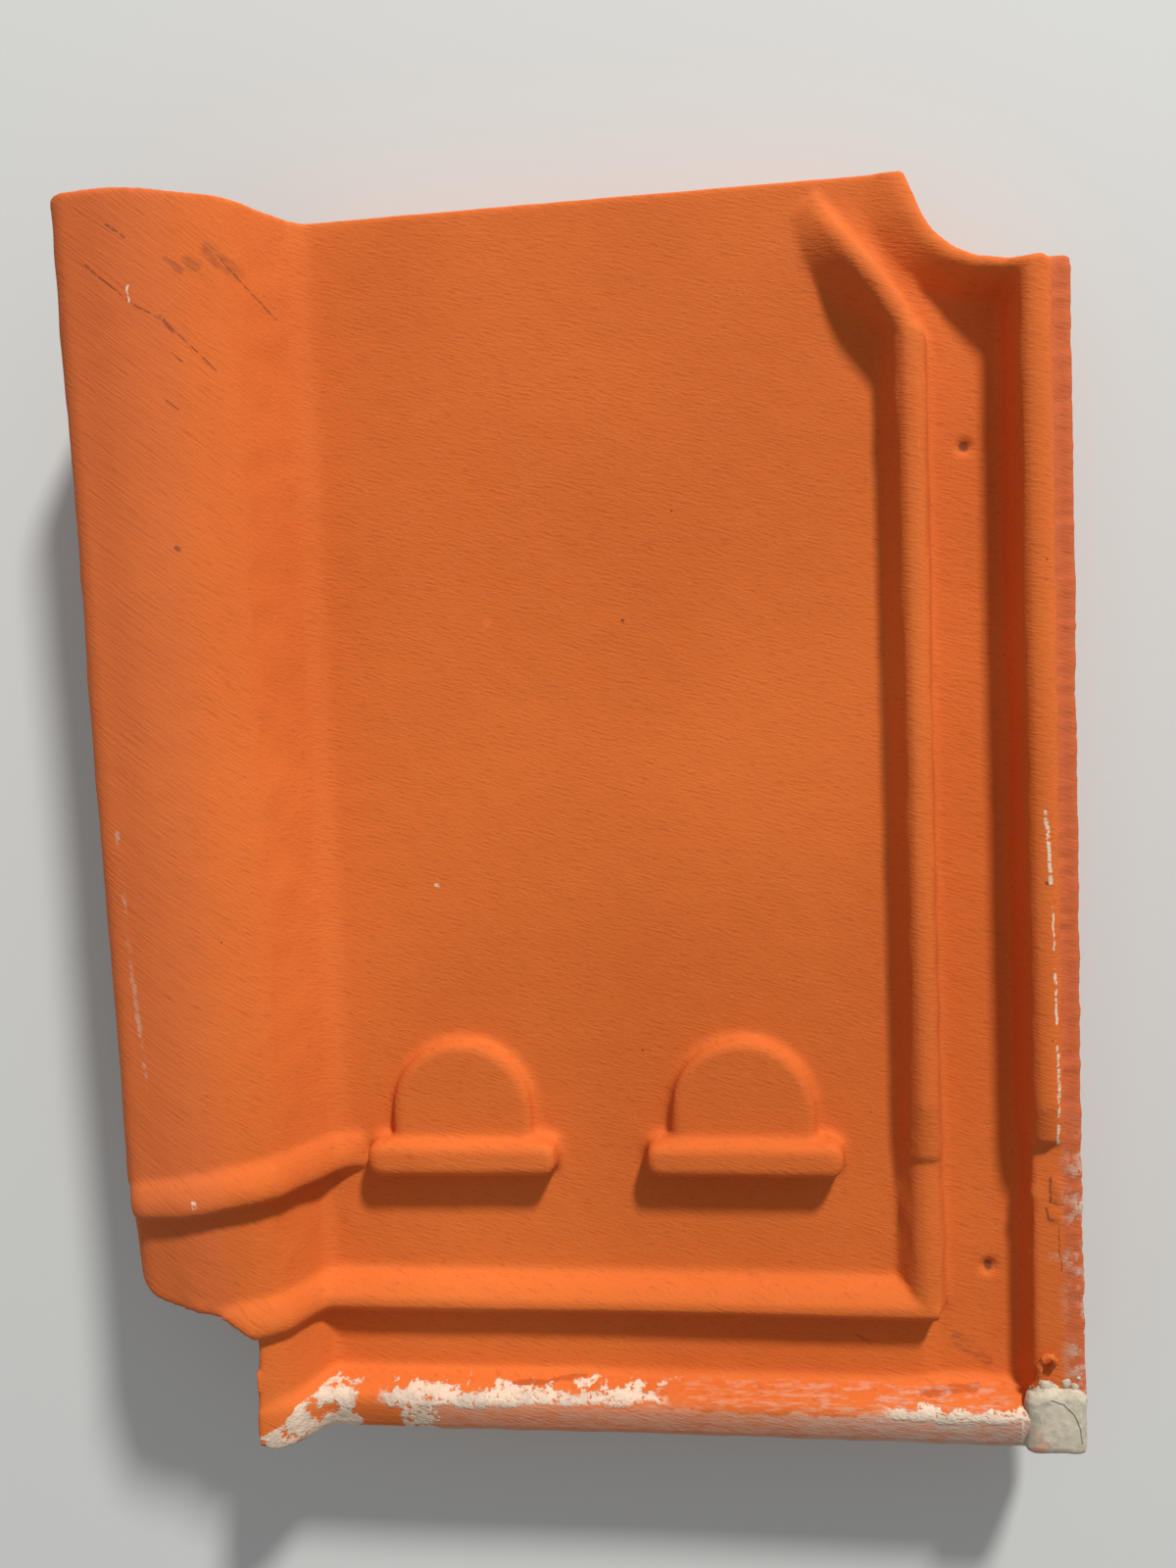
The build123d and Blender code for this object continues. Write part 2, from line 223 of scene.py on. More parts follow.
def placeGrain(tree, vector, look):
    settings = {"Vector": vector, "Scale": look["grainScale"], "Coarse": look["grainCoarse"]}
    return add(tree, "ShaderNodeGroup", settings, node_tree=sandGrain).outputs["Height"]


# A slow drift that a material's marks share, each as far as its own wander says
def driftAt(tree, vector, look):
    settings = {"Vector": vector, "Scale": look["driftScale"]}
    drift = add(tree, "ShaderNodeTexNoise", settings).outputs["Color"]
    return vectorMaths(tree, "SUBTRACT", drift, (0.5, 0.5, 0.5))


def placeMarks(tree, vector, drift, marks):
    pushed = {}
    for wander in sorted({mark[3] for mark in marks}):
        moved = vectorMaths(tree, "ADD", vector, vectorMaths(tree, "SCALE", drift, wander / 1000))
        pushed[wander] = vectorMaths(tree, "MULTIPLY", moved, (1, 1, 0))
    result = None
    for start, end, halfWidth, wander in marks:
        settings = {
            "Vector": pushed[wander],
            "Start": metres((*start, 0)),
            "End": metres((*end, 0)),
            "Width": halfWidth / 1000,
        }
        mask = add(tree, "ShaderNodeGroup", settings, node_tree=drawnMark).outputs["Mask"]
        result = mask if result is None else maths(tree, "MAXIMUM", result, mask)
    return result


def newMaterial(name, look):
    material = bpy.data.materials.new(name)
    material.use_nodes = True
    tree = material.node_tree
    shader = tree.nodes["Principled BSDF"]
    shader.inputs["Roughness"].default_value = look["roughness"]
    shader.inputs["Specular IOR Level"].default_value = look["specular"]
    place = add(tree, "ShaderNodeTexCoord").outputs["Object"]
    return material, tree, shader, place


def feedBump(tree, shader, height, look):
    settings = {"Height": height, "Strength": look["bumpStrength"], "Distance": look["bumpDistance"]}
    bump = add(tree, "ShaderNodeBump", settings)
    tree.links.new(bump.outputs["Normal"], shader.inputs["Normal"])


clayLook = {
    "roughness": 0.85,
    "specular": 0.25,
    "pale": rgb(221, 110, 44),
    "deep": rgb(207, 99, 37),
    "stroke": rgb(164, 70, 24),
    "dusty": rgb(212, 124, 78),
    # redder brown of the rough ledge, also used for the painted shade over the roll's top
    "ledgeRedAndRollShade": rgb(186, 92, 58),
    # dark brown: painted shade in pits, holes and broken edges, and the colour of the dark scratches and
    # smudges
    "darkMarksAndShade": rgb(78, 44, 34),
    "limeWhite": rgb(226, 205, 180),
    "limeGrey": rgb(200, 184, 164),
    "filmPink": rgb(212, 150, 120),
    "filmGrey": rgb(194, 177, 160),
    # noise per metre
    "mottleScale": 9.0,
    "grainScale": 1100.0,
    "pitScale": 66.0,
    "brokenScale": 520.0,
    "patchScale": 170.0,
    "flakeScale": 620.0,
    "driftScale": 260.0,
    "grainCoarse": 0.2,
    # short strokes drawn in the wet clay: degrees from +X, scale along and scale across
    "panStroke": (-17.0, 260.0, 1500.0),
    "rollStroke": (-38.0, 90.0, 1600.0),
    # the noise at which each begins and is full, and where it isn't 0 to 1, its shares there
    "mottleCover": (0.3, 0.7),
    "strokeCover": (0.54, 0.74, 0.0, 0.36),
    "dustyCover": (0.54, 0.72, 0.0, 0.42),
    "pitCover": (0.74, 0.78),
    "pitRadius": (0.0, 1.0, 0.014, 0.034),
    "brokenCover": (0.34, 0.52),
    "smudgeCover": (0.3, 0.6),
    "scuffCover": (0.4, 0.52),
    "dustPatches": (0.45, 0.62),
    "dustFlakes": (0.35, 0.5),
    "limeMarkCover": (0.42, 0.52),
    "limeTone": (0.4, 0.66),
    "limeHeight": (0.3, 0.7, 0.5, 1.1),
    # the places, in metres, between which each changes, and its shares there
    "topFrom": (0.0205, 0.0225),
    "rollEdge": (-0.086, -0.074, 1.0, 0.0),
    # painted shade over the roll's top and outer side
    "rollTopShade": (-0.09, -0.1, 0.0, 0.3),
    "ledgeEdge": (0.1222, 0.1236),
    "ledgeFrom": (0.024, 0.028),
    "dustAcross": (0.1205, 0.1275, 0.0, 0.8),
    "dustAlong": (-0.07, -0.1),
    "filmTone": (0.03, 0.1),
    # how much of its colour each mark gives
    # share of painted shade in the pits and holes
    "hollowShadeShare": 0.72,
    "scratchShare": 0.6,
    "smudgeShare": 0.34,
    "slitShare": 0.6,
    # share of painted shadow along the broken edges by the outer rib's end
    "crackShare": 0.62,
    "scuffShare": 0.85,
    "ledgeShare": 0.6,
    "dustMarkShare": 0.42,
    "limeShare": 0.92,
    "grainHeight": 0.5,
    "strokeHeight": 0.7,
    "pitHeight": 0.9,
    "bumpStrength": 0.6,
    "bumpDistance": 0.0004,
    # start, end, half width and wander of each mark on the clay, seen from above
    "scratches": (
        ((-116.9, 147.6), (-105.9, 138.0), 0.34, 0.5),
        ((-105.9, 138.0), (-97.8, 133.1), 0.34, 0.7),
        ((-99.0, 134.4), (-96.4, 131.0), 0.75, 1.2),
        ((-97.8, 133.1), (-87.4, 121.9), 0.3, 0.5),
        ((-85.6, 150.4), (-76.2, 138.6), 0.3, 0.5),
        ((-96.9, 125.5), (-94.8, 123.6), 0.3, 0.4),
        ((-99.1, 114.0), (-96.2, 111.6), 0.3, 0.4),
        ((-110.6, 157.0), (-106.4, 153.8), 0.45, 0.8),
    ),
    "smudges": (
        ((-92.2, 148.6), (-91.0, 148.0), 2.4, 2.4),
        ((-87.6, 152.4), (-83.6, 148.0), 2.8, 3.0),
        ((-97.6, 149.0), (-94.0, 146.6), 1.1, 2.6),
        ((97.0, -140.8), (104.6, -146.8), 2.6, 4.0),
    ),
    "scuffs": (
        ((-105.9, 142.6), (-106.5, 140.4), 0.34, 1.4),
        ((-106.5, 140.4), (-106.0, 138.0), 0.3, 1.4),
        ((-101.2, -92.2), (-100.8, -93.6), 0.7, 1.6),
        ((-41.0, -14.8), (-40.2, -15.0), 0.6, 0.4),
    ),
    "slits": (
        ((86.0, -152.9), (102.0, -152.2), 0.5, 1.2),
        ((-25.8, -153.2), (-4.0, -152.3), 0.4, 1.0),
        ((70.0, -139.6), (74.0, -142.4), 0.4, 1.2),
    ),
    # painted shadow lines along the broken edges beside the end of the outer rib
    "cracks": (
        ((119.6, -93.6), (119.5, -100.1), 0.48, 0.9),
        ((119.5, -100.1), (122.6, -100.6), 0.42, 0.9),
        ((118.5, -101.5), (119.0, -104.4), 0.4, 0.9),
        ((119.0, -104.4), (121.2, -104.9), 0.36, 0.9),
        ((121.6, -106.5), (121.9, -118.0), 0.3, 1.8),
    ),
    # holes: dark colour painted into the blind holes as painted shade
    "holes": (
        ((105.5, -121.4), (105.3, -120.8), 1.5, 0.8),
        ((102.9, 96.2), (103.3, 96.0), 1.5, 0.8),
        ((-98.2, 76.5), (-97.8, 76.2), 0.9, 0.6),
    ),
    # lime on the crest of the outer rib, and in the joint by the mortar
    "limeMarks": (
        ((118.7, 2.0), (119.6, -16.0), 0.7, 1.1),
        ((119.8, -22.0), (120.2, -33.0), 0.35, 1.2),
        ((120.3, -38.0), (120.7, -52.0), 0.5, 1.4),
        ((120.9, -58.0), (121.3, -84.0), 0.7, 1.5),
        ((111.2, -155.0), (111.4, -165.4), 0.6, 0.5),
    ),
    # dust in a band over the fold's ledge, and down the outer side of the roll
    "dustMarks": (
        ((115.6, -113.8), (127.8, -115.2), 1.7, 1.8),
        ((-117.2, 4.2), (-115.5, -34.2), 0.8, 1.6),
        ((-115.5, -34.2), (-113.1, -62.7), 0.9, 1.6),
    ),
}

# Lime on the head rim. An edge that slopes goes from one x to another, and from one y to another;
# a soft place is where it begins and is full; a band has two ends and their softness; all in metres
limeShape = {
    "stray": 0.0014,    # how far the edges wander across the rim
    "strayAlong": 1.6,  # how much further they wander along it
    "lineTop": (0.02, 0.07, -0.1534, -0.1551),
    "lineFootByRoll": (-0.045, 0.01, -0.1574, -0.1558),
    "lineFootByFold": (0.05, 0.08, -0.1558, -0.1576),
    "lineTopSoft": (-0.0002, 0.0002),
    "lineFootSoft": (-0.0008, 0.0006),
    "lineGap": (0.018, 0.076, 0.004),
    "lineStart": (-0.061, -0.057),
    "linePores": (0.33, 0.44),
    "blotchTop": (-0.092, -0.076, -0.1615, -0.153),
    "blotchTopSoft": (-0.0003, 0.0004),
    "blotchEnd": (-0.0675, -0.0665, 1.0, 0.0),
    "blotchScale": 210.0,
    "blotchPores": (0.38, 0.46),
    "tongue": (-0.0545, -0.0455, 0.0006),
    "tongueTop": (-0.1565, -0.156, 1.0, 0.0),
    "tonguePores": (0.4, 0.5),
    "streaks": (1.5, 200.0, 1500.0),
    "streakShare": 0.6,
    "filmTop": (-0.1575, -0.1562, 1.0, 0.0),
    "filmStart": (-0.052, -0.044),
    "filmCover": (0.36, 0.6, 0.35, 0.88),
    "veilAcross": (-0.1565, -0.1522, 0.0006),
    "veilAlong": (0.02, 0.108, 0.01),
    "veilCover": (0.44, 0.66, 0.0, 0.45),
}


# The white crust on the rim's crest, and the streaked film below it
def layLime(tree, x, y, place, patch, flake):
    shape = limeShape
    stray = ramp(tree, patch, 0.25, 0.75, -shape["stray"], shape["stray"])
    yStray = maths(tree, "ADD", y, stray)
    xStray = maths(tree, "ADD", x, times(tree, stray, shape["strayAlong"]))
    porous = ramp(tree, flake, *shape["linePores"])
    # a line along the inner side of the crest, heavy by the roll, missing in the middle
    top = ramp(tree, x, *shape["lineTop"])
    foot = ramp(tree, x, *shape["lineFootByRoll"])
    foot = maths(tree, "MINIMUM", foot, ramp(tree, x, *shape["lineFootByFold"]))
    line = times(
        tree,
        ramp(tree, maths(tree, "SUBTRACT", top, yStray), *shape["lineTopSoft"]),
        ramp(tree, maths(tree, "SUBTRACT", yStray, foot), *shape["lineFootSoft"]),
        maths(tree, "SUBTRACT", 1.0, band(tree, xStray, *shape["lineGap"])),
        ramp(tree, xStray, *shape["lineStart"]),
        porous,
    )
    # blotches over the whole of the rim where it climbs the roll
    edge = ramp(tree, x, *shape["blotchTop"])
    blotch = times(
        tree,
        ramp(tree, maths(tree, "SUBTRACT", edge, yStray), *shape["blotchTopSoft"]),
        ramp(tree, xStray, *shape["blotchEnd"]),
        ramp(tree, noiseAt(tree, place, shape["blotchScale"]), *shape["blotchPores"]),
    )
    # a tongue that runs down from the line
    tongue = times(
        tree,
        band(tree, xStray, *shape["tongue"]),
        ramp(tree, yStray, *shape["tongueTop"]),
        ramp(tree, flake, *shape["tonguePores"]),
    )
    crust = maths(tree, "MAXIMUM", line, maths(tree, "MAXIMUM", blotch, tongue))
    streaky = strokesAt(tree, place, *shape["streaks"])
    streakShare = shape["streakShare"]
    cloudy = maths(tree, "ADD", times(tree, streaky, streakShare), times(tree, patch, 1 - streakShare))
    film = times(
        tree,
        ramp(tree, yStray, *shape["filmTop"]),
        ramp(tree, xStray, *shape["filmStart"]),
        ramp(tree, cloudy, *shape["filmCover"]),
    )
    # a thin veil above the film
    veil = times(
        tree,
        band(tree, y, *shape["veilAcross"]),
        band(tree, x, *shape["veilAlong"]),
        ramp(tree, streaky, *shape["veilCover"]),
    )
    return crust, maths(tree, "MAXIMUM", film, veil)


def makeClay():
    look = clayLook
    material, tree, shader, place = newMaterial("firedClay", look)
    axes = add(tree, "ShaderNodeSeparateXYZ", {0: place})
    x, y, z = axes.outputs
    drift = driftAt(tree, place, look)
    onTop = ramp(tree, z, *look["topFrom"])
    mottle = noiseAt(tree, place, look["mottleScale"], 2.0, 0.5)
    colour = blendColour(tree, ramp(tree, mottle, *look["mottleCover"]), look["pale"], look["deep"])
    # the strokes are steeper over the roll
    panStroke = strokesAt(tree, place, *look["panStroke"])
    rollStroke = strokesAt(tree, place, *look["rollStroke"])
    onRoll = ramp(tree, x, *look["rollEdge"])
    mixed = add(tree, "ShaderNodeMix", {0: onRoll, 2: panStroke, 3: rollStroke}, data_type="FLOAT")
    stroke = mixed.outputs[0]
    colour = blendColour(tree, ramp(tree, stroke, *look["strokeCover"]), colour, look["stroke"])
    grain = placeGrain(tree, place, look)
    colour = blendColour(tree, ramp(tree, grain, *look["dustyCover"]), colour, look["dusty"])
    # small open pits in a few of the cells, and the holes that marks give, darkened in colour as painted
    # shade in their hollows
    cells = add(tree, "ShaderNodeTexVoronoi", {"Vector": place, "Scale": look["pitScale"]})
    cellDraws = add(tree, "ShaderNodeSeparateColor", {0: cells.outputs["Color"]}).outputs
    size = ramp(tree, cellDraws[1], *look["pitRadius"])
    inCell = maths(tree, "LESS_THAN", cells.outputs["Distance"], size)
    pit = times(tree, inCell, ramp(tree, cellDraws[0], *look["pitCover"]))
    hollowShade = maths(tree, "MAXIMUM", pit, placeMarks(tree, place, drift, look["holes"]))
    colour = blendColour(tree, times(tree, hollowShade, look["hollowShadeShare"]), colour, look["darkMarksAndShade"])
    # painted shade over the top and outer side of the roll, browner there as the light falls
    rollTopShade = times(tree, ramp(tree, x, *look["rollTopShade"]), onTop)
    colour = blendColour(tree, rollTopShade, colour, look["ledgeRedAndRollShade"])
    # marks that use left: scratches, smudges, slits and scuffs, and cracks that are painted shadow along
    # broken edges
    broken = ramp(tree, noiseAt(tree, place, look["brokenScale"], 2.0), *look["brokenCover"])
    scratch = times(tree, placeMarks(tree, place, drift, look["scratches"]), onTop, broken)
    colour = blendColour(tree, times(tree, scratch, look["scratchShare"]), colour, look["darkMarksAndShade"])
    smudge = placeMarks(tree, place, drift, look["smudges"])
    smudge = times(tree, smudge, onTop, ramp(tree, stroke, *look["smudgeCover"]))
    colour = blendColour(tree, times(tree, smudge, look["smudgeShare"]), colour, look["darkMarksAndShade"])
    slit = times(tree, placeMarks(tree, place, drift, look["slits"]), onTop)
    colour = blendColour(tree, times(tree, slit, look["slitShare"]), colour, look["stroke"])
    # painted shadow along the broken edges by the end of the outer rib
    crack = times(tree, placeMarks(tree, place, drift, look["cracks"]), onTop)
    colour = blendColour(tree, times(tree, crack, broken, look["crackShare"]), colour, look["darkMarksAndShade"])
    patch = noiseAt(tree, place, look["patchScale"], 5.0, 0.65)
    flake = noiseAt(tree, place, look["flakeScale"], 3.0)
    scuff = placeMarks(tree, place, drift, look["scuffs"])
    scuff = times(tree, scuff, onTop, ramp(tree, flake, *look["scuffCover"]))
    colour = blendColour(tree, times(tree, scuff, look["scuffShare"]), colour, look["limeWhite"])
    # the rough ledge of the fold is redder, and dusted towards the head
    ledge = times(tree, ramp(tree, x, *look["ledgeEdge"]), ramp(tree, z, *look["ledgeFrom"]))
    colour = blendColour(tree, times(tree, ledge, look["ledgeShare"]), colour, look["ledgeRedAndRollShade"])
    ledgeDust = times(tree, ramp(tree, x, *look["dustAcross"]), ramp(tree, y, *look["dustAlong"]), onTop)
    dustMarks = times(tree, placeMarks(tree, place, drift, look["dustMarks"]), look["dustMarkShare"])
    dust = maths(tree, "MAXIMUM", ledgeDust, dustMarks)
    dust = times(tree, dust, ramp(tree, patch, *look["dustPatches"]), ramp(tree, flake, *look["dustFlakes"]))
    colour = blendColour(tree, dust, colour, look["limeGrey"])
    crust, film = layLime(tree, x, y, place, patch, flake)
    filmColour = blendColour(tree, ramp(tree, x, *look["filmTone"]), look["filmPink"], look["filmGrey"])
    colour = blendColour(tree, times(tree, film, onTop), colour, filmColour)
    limeMarks = placeMarks(tree, place, drift, look["limeMarks"])
    limeMarks = times(tree, limeMarks, ramp(tree, flake, *look["limeMarkCover"]))
    crust = times(tree, crust, onTop)
    lime = maths(tree, "MAXIMUM", crust, times(tree, limeMarks, onTop))
    limeColour = blendColour(tree, ramp(tree, patch, *look["limeTone"]), look["limeWhite"], look["limeGrey"])
    colour = blendColour(tree, times(tree, lime, look["limeShare"]), colour, limeColour)
    tree.links.new(colour, shader.inputs["Base Color"])
    height = times(tree, grain, look["grainHeight"])
    height = maths(tree, "ADD", height, times(tree, stroke, look["strokeHeight"]))
    height = maths(tree, "ADD", height, times(tree, crust, ramp(tree, flake, *look["limeHeight"])))
    height = maths(tree, "SUBTRACT", height, times(tree, pit, look["pitHeight"]))
    feedBump(tree, shader, height, look)
    return material


firedClay = makeClay()
print("clay ready")

mortarLook = {
    "roughness": 0.93,
    "specular": 0.25,
    "pale": rgb(200, 189, 167),
    "dark": rgb(168, 157, 136),
    "pink": rgb(206, 144, 116),
    "crack": rgb(96, 92, 82),
    "grainScale": 620.0,
    "grainCoarse": 0.5,
    "driftScale": 260.0,
    "grainCover": (0.38, 0.62),
    # pink clay shows through by the rim: how far across, how far along, in metres, and its patches
    "stainAcross": (0.115, 0.12, 1.0, 0.0),
    "stainAlong": (-0.162, -0.156, 1.0, 0.0),
    "stainScale": 420.0,
    "stainCover": (0.5, 0.58, 0.0, 0.8),
    "crackShare": 0.65,
    "crackDepth": 0.8,
    "bumpStrength": 0.6,
    "bumpDistance": 0.0005,
    # an arc that was drawn in it with a trowel, in four runs
    "cracks": (
        ((118.3, -151.3), (121.3, -152.5), 0.3, 0.5),
        ((121.3, -152.5), (123.7, -154.8), 0.3, 0.5),
        ((123.7, -154.8), (125.3, -158.4), 0.28, 0.5),
        ((125.3, -158.4), (125.8, -162.6), 0.25, 0.5),
    ),
}


def makeMortar():
    look = mortarLook
    material, tree, shader, place = newMaterial("oldMortar", look)
    grain = placeGrain(tree, place, look)
    colour = blendColour(tree, ramp(tree, grain, *look["grainCover"]), look["dark"], look["pale"])
    axes = add(tree, "ShaderNodeSeparateXYZ", {0: place})
    x, y = axes.outputs[:2]
    byRim = times(tree, ramp(tree, x, *look["stainAcross"]), ramp(tree, y, *look["stainAlong"]))
    patches = ramp(tree, noiseAt(tree, place, look["stainScale"]), *look["stainCover"])
    colour = blendColour(tree, times(tree, byRim, patches), colour, look["pink"])
    crack = placeMarks(tree, place, driftAt(tree, place, look), look["cracks"])
    colour = blendColour(tree, times(tree, crack, look["crackShare"]), colour, look["crack"])
    tree.links.new(colour, shader.inputs["Base Color"])
    height = maths(tree, "SUBTRACT", grain, times(tree, crack, look["crackDepth"]))
    feedBump(tree, shader, height, look)
    return material


oldMortar = makeMortar()
print("mortar ready")

tileShape = {
    "weld": 0.01,         # corners of the solid's mesh that lie this close are one
    "voxel": 1.0,         # grid of the remesh
    "softening": 3,       # passes that round the pressed edges
    "softenFactor": 0.5,
    "faceLimit": 186000,
    "warp": 0.45,         # slow unevenness of hand-laid clay, 7 cm long
    "warpScale": 14,
    "ripple": 0.10,       # waves 6 mm long
    "rippleScale": 160,
    "edgeWander": 0.35,   # how far the side walls stray
    "edgeScale": 110,
    "sideTilt": 0.6,      # a wall counts as a side where its normal is flatter than this
    "faceTilt": 0.5,      # and as a face where it is steeper than this
    # the broken ledge of the fold: lowest x, y and z, its ridges' noise across and along, and its grit
    "ledgeFrom": (122.6, -135, 27),
    "ledgeRoughness": 0.32,
    "ridgeScale": (90, 430),
    "ridgeDraw": 7.0,
    "gritScale": 700,
    "gritShare": 0.5,
    # blind holes in the face: place, radius and depth
    "holes": (((105.4, -121.0), 2.1, 1.3), ((103.2, 96.0), 2.0, 1.1)),
    # lumps left on the edges of the head notch and by the broken end of the rib: place, radius, rise
    "lumps": (
        ((-92.4, -137.4, 41.0), 1.5, 1.0),
        ((-92.0, -149.2, 40.0), 2.0, 1.6),
        ((-104.5, -123.4, 47.0), 1.6, 0.7),
        ((114.8, -98.0, 30.5), 2.2, 0.6),
    ),
    # low steps where the skin of the ledge has broken away: two corners and a rise
    "steps": (
        ((119.6, -100.3), (122.6, -93.5), 0.4),
        ((119.2, -104.8), (122.4, -101.0), 0.3),
    ),
    # folds of clay squeezed against the foot of the rim: start, end, half width, rise
    "folds": (((-26.0, -152.6), (-3.0, -151.6), 0.9, 0.35), ((85.0, -152.3), (102.0, -151.5), 1.0, 0.4)),
}


def distanceToRun(spot, start, end):
    run = Vector(end) - Vector(start)
    share = min(max((spot - Vector(start)).dot(run) / run.length_squared, 0), 1)
    return (spot - Vector(start) - run * share).length


# How far a point of the tile's skin is pushed out, in metres
def reliefAt(point, normal):
    spot = point * 1000
    height = tileShape["warp"] * noise.noise(point * tileShape["warpScale"])
    height += tileShape["ripple"] * noise.noise(point * tileShape["rippleScale"])
    if abs(normal.z) < tileShape["sideTilt"]:
        height += tileShape["edgeWander"] * noise.noise(point * tileShape["edgeScale"])
    if all(value > limit for value, limit in zip(spot, tileShape["ledgeFrom"])):
        across, along = tileShape["ridgeScale"]
        ridges = noise.noise(Vector((point.x * across, point.y * along, tileShape["ridgeDraw"])))
        grit = noise.noise(point * tileShape["gritScale"])
        height += tileShape["ledgeRoughness"] * (ridges + tileShape["gritShare"] * grit)
    if normal.z > tileShape["faceTilt"]:
        flat = spot.to_2d()
        for centre, radius, depth in tileShape["holes"]:
            away = (flat - Vector(centre)).length / radius
            height -= depth * math.exp(-away ** 4)
        for start, end, halfWidth, rise in tileShape["folds"]:
            away = distanceToRun(flat, start, end) / halfWidth
            height += rise * math.exp(-away * away)
        for low, high, rise in tileShape["steps"]:
            if low[0] < spot.x < high[0] and low[1] < spot.y < high[1]:
                height += rise
    for centre, radius, rise in tileShape["lumps"]:
        away = (spot - Vector(centre)).length / radius
        height += rise * math.exp(-away * away)
    return height / 1000


def makeTile():
    merged = bmesh.new()
    merged.from_mesh(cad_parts["roof_tile"].data)
    bmesh.ops.remove_doubles(merged, verts=merged.verts, dist=tileShape["weld"] / 1000)
    mesh = bpy.data.meshes.new("tileClay")
    merged.to_mesh(mesh)
    merged.free()
    tile = newPiece("tileClay", mesh, firedClay)
    addRemesh(tile, tileShape["voxel"])
    soften = tile.modifiers.new("soften", "SMOOTH")
    soften.factor = tileShape["softenFactor"]
    soften.iterations = tileShape["softening"]
    bakeModifiers(tile)
    vertices = tile.data.vertices
    moved = [keepInBox(v.co + v.normal * reliefAt(v.co, v.normal)) for v in vertices]
    for vertex, place in zip(vertices, moved):
        vertex.co = place
    thin = tile.modifiers.new("thin", "DECIMATE")
    thin.ratio = min(1.0, tileShape["faceLimit"] / (2 * len(tile.data.polygons)))
    bakeModifiers(tile)
    finishMesh(tile.data, firedClay)
    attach(tile, "root")
    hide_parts("roof_tile")
    print("tile:", sum(len(p.vertices) - 2 for p in tile.data.polygons), "triangles")


makeTile()

mortarShape = {
    # the pat on the head corner of the fold: two corners and the heights of its foot and face
    "patLow": (111.9, -166.2),
    "patHigh": (127.6, -149.4),
    "patFoot": 29.5,
    "patFace": 34.3,
    "patRound": 2.2,
    "patSegments": 3,
    "patCells": 0.7,
    "unevenness": 0.38,
    "lumpScale": 150,
    "gritScale": 520,
    "gritShare": 0.5,
    "noiseShift": (34.1, 18.7, 0.0),
    "raggedness": 2.6,       # how much rougher its side towards the tail is
    "raggedDepth": 3.0,
    "seed": 11,
    # crumbs strewn along the side towards the tail: their place across, then along, with its spread
    "crumbCount": 34,
    "crumbSize": (0.5, 1.5),
    "crumbWidth": (0.6, 1.0),
    "crumbFlatness": (0.35, 0.6),
    "crumbAcross": (113.5, 126.0),
    "crumbAlong": (-149.0, 1.7),
    "crumbHeight": 31.4,
    "crumbLumps": 0.35,
    "crumbLumpScale": 900,
}


def mortarWander(point):
    shift = Vector(mortarShape["noiseShift"])
    lumps = noise.noise(point * mortarShape["lumpScale"] + shift)
    return lumps + mortarShape["gritShare"] * noise.noise(point * mortarShape["gritScale"] + shift)


def makePat():
    low = (*mortarShape["patLow"], mortarShape["patFoot"])
    high = (*mortarShape["patHigh"], mortarShape["patFace"])
    size = [b - a for a, b in zip(low, high)]
    middle = [(a + b) / 2 for a, b in zip(low, high)]
    pat = bmesh.new()
    bmesh.ops.create_cube(pat, size=1.0)
    bmesh.ops.scale(pat, vec=metres(size), verts=pat.verts)
    bmesh.ops.translate(pat, vec=metres(middle), verts=pat.verts)
    bmesh.ops.bevel(
        pat,
        geom=pat.edges[:],
        offset=mortarShape["patRound"] / 1000,
        segments=mortarShape["patSegments"],
        profile=0.5,
        affect="EDGES",
        material=-1,
    )
    mesh = bpy.data.meshes.new("mortarPat")
    pat.to_mesh(mesh)
    pat.free()
    piece = newPiece("mortarPat", mesh, oldMortar)
    addRemesh(piece, mortarShape["patCells"])
    bakeModifiers(piece)
    raggedFrom = (high[1] - mortarShape["raggedDepth"]) / 1000
    for vertex in piece.data.vertices:
        # the side towards the tail is ragged, the others are struck off
        ragged = mortarShape["raggedness"] if vertex.co.y > raggedFrom else 1.0
        push = mortarShape["unevenness"] * ragged * mortarWander(vertex.co)
        vertex.co = keepInBox(vertex.co + vertex.normal * push / 1000)
    finishMesh(piece.data, oldMortar)
    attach(piece, "root")


def makeCrumbs():
    random.seed(mortarShape["seed"])
    crumbs = bmesh.new()
    for _ in range(mortarShape["crumbCount"]):
        size = random.uniform(*mortarShape["crumbSize"])
        made = bmesh.ops.create_icosphere(crumbs, subdivisions=2, radius=size / 1000)["verts"]
        width = random.uniform(*mortarShape["crumbWidth"])
        flatness = random.uniform(*mortarShape["crumbFlatness"])
        bmesh.ops.scale(crumbs, vec=(1.0, width, flatness), verts=made)
        turn = Matrix.Rotation(random.uniform(0, math.tau), 3, "Z")
        bmesh.ops.rotate(crumbs, cent=(0, 0, 0), matrix=turn, verts=made)
        across = random.uniform(*mortarShape["crumbAcross"])
        along = random.gauss(*mortarShape["crumbAlong"])
        for vertex in made:
            lump = noise.noise(vertex.co * mortarShape["crumbLumpScale"] + Vector((across, along, 0)))
            vertex.co *= 1 + mortarShape["crumbLumps"] * lump
        bmesh.ops.translate(crumbs, vec=metres((across, along, mortarShape["crumbHeight"])), verts=made)
    mesh = bpy.data.meshes.new("mortarCrumbs")
    crumbs.to_mesh(mesh)
    crumbs.free()
    smoothShade(mesh)
    piece = newPiece("mortarCrumbs", mesh, oldMortar)
    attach(piece, "root")


makePat()
makeCrumbs()
print("mortar placed")

